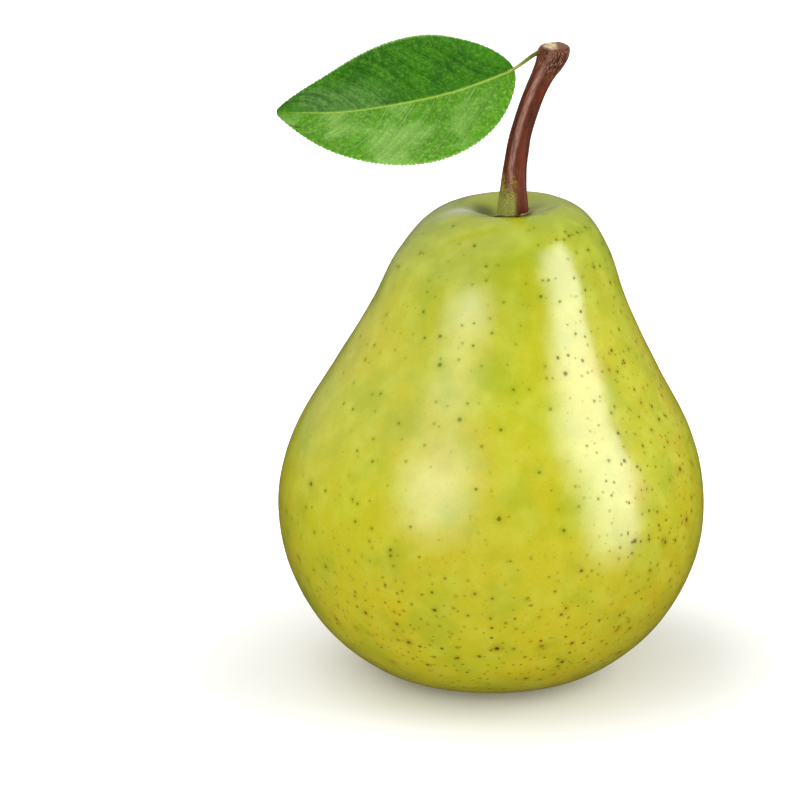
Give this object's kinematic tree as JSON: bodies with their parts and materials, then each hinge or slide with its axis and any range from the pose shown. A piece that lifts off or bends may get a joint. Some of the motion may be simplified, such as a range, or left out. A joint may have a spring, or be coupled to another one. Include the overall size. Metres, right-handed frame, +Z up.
{
  "type": "pear",
  "caption": "Whole fresh green pear standing on its base, with a curved woody stem, a leaf on a thin stalk, and a dried calyx in the hollow underneath.",
  "frame": {"origin": "on the surface that the pear stands on, under the middle of the belly", "axes": "+Z up along the fruit towards the stem; +X is the side that the neck and the stem lean to; the leaf reaches out to -X; -Y is the front"},
  "size_m": [0.0747, 0.0757, 0.1133],
  "materials": {
    "pear_skin": "satin",
    "stem_bark": "satin",
    "leaf_stalk": "satin",
    "leaf": "satin",
    "dried_calyx": "matte"
  },
  "bodies": {
    "root": {"fruit": "pear_skin", "stem": "stem_bark", "leaf_stalk": "leaf_stalk", "leaf_blade": "leaf", "calyx": "dried_calyx"}
  },
  "joints": []
}
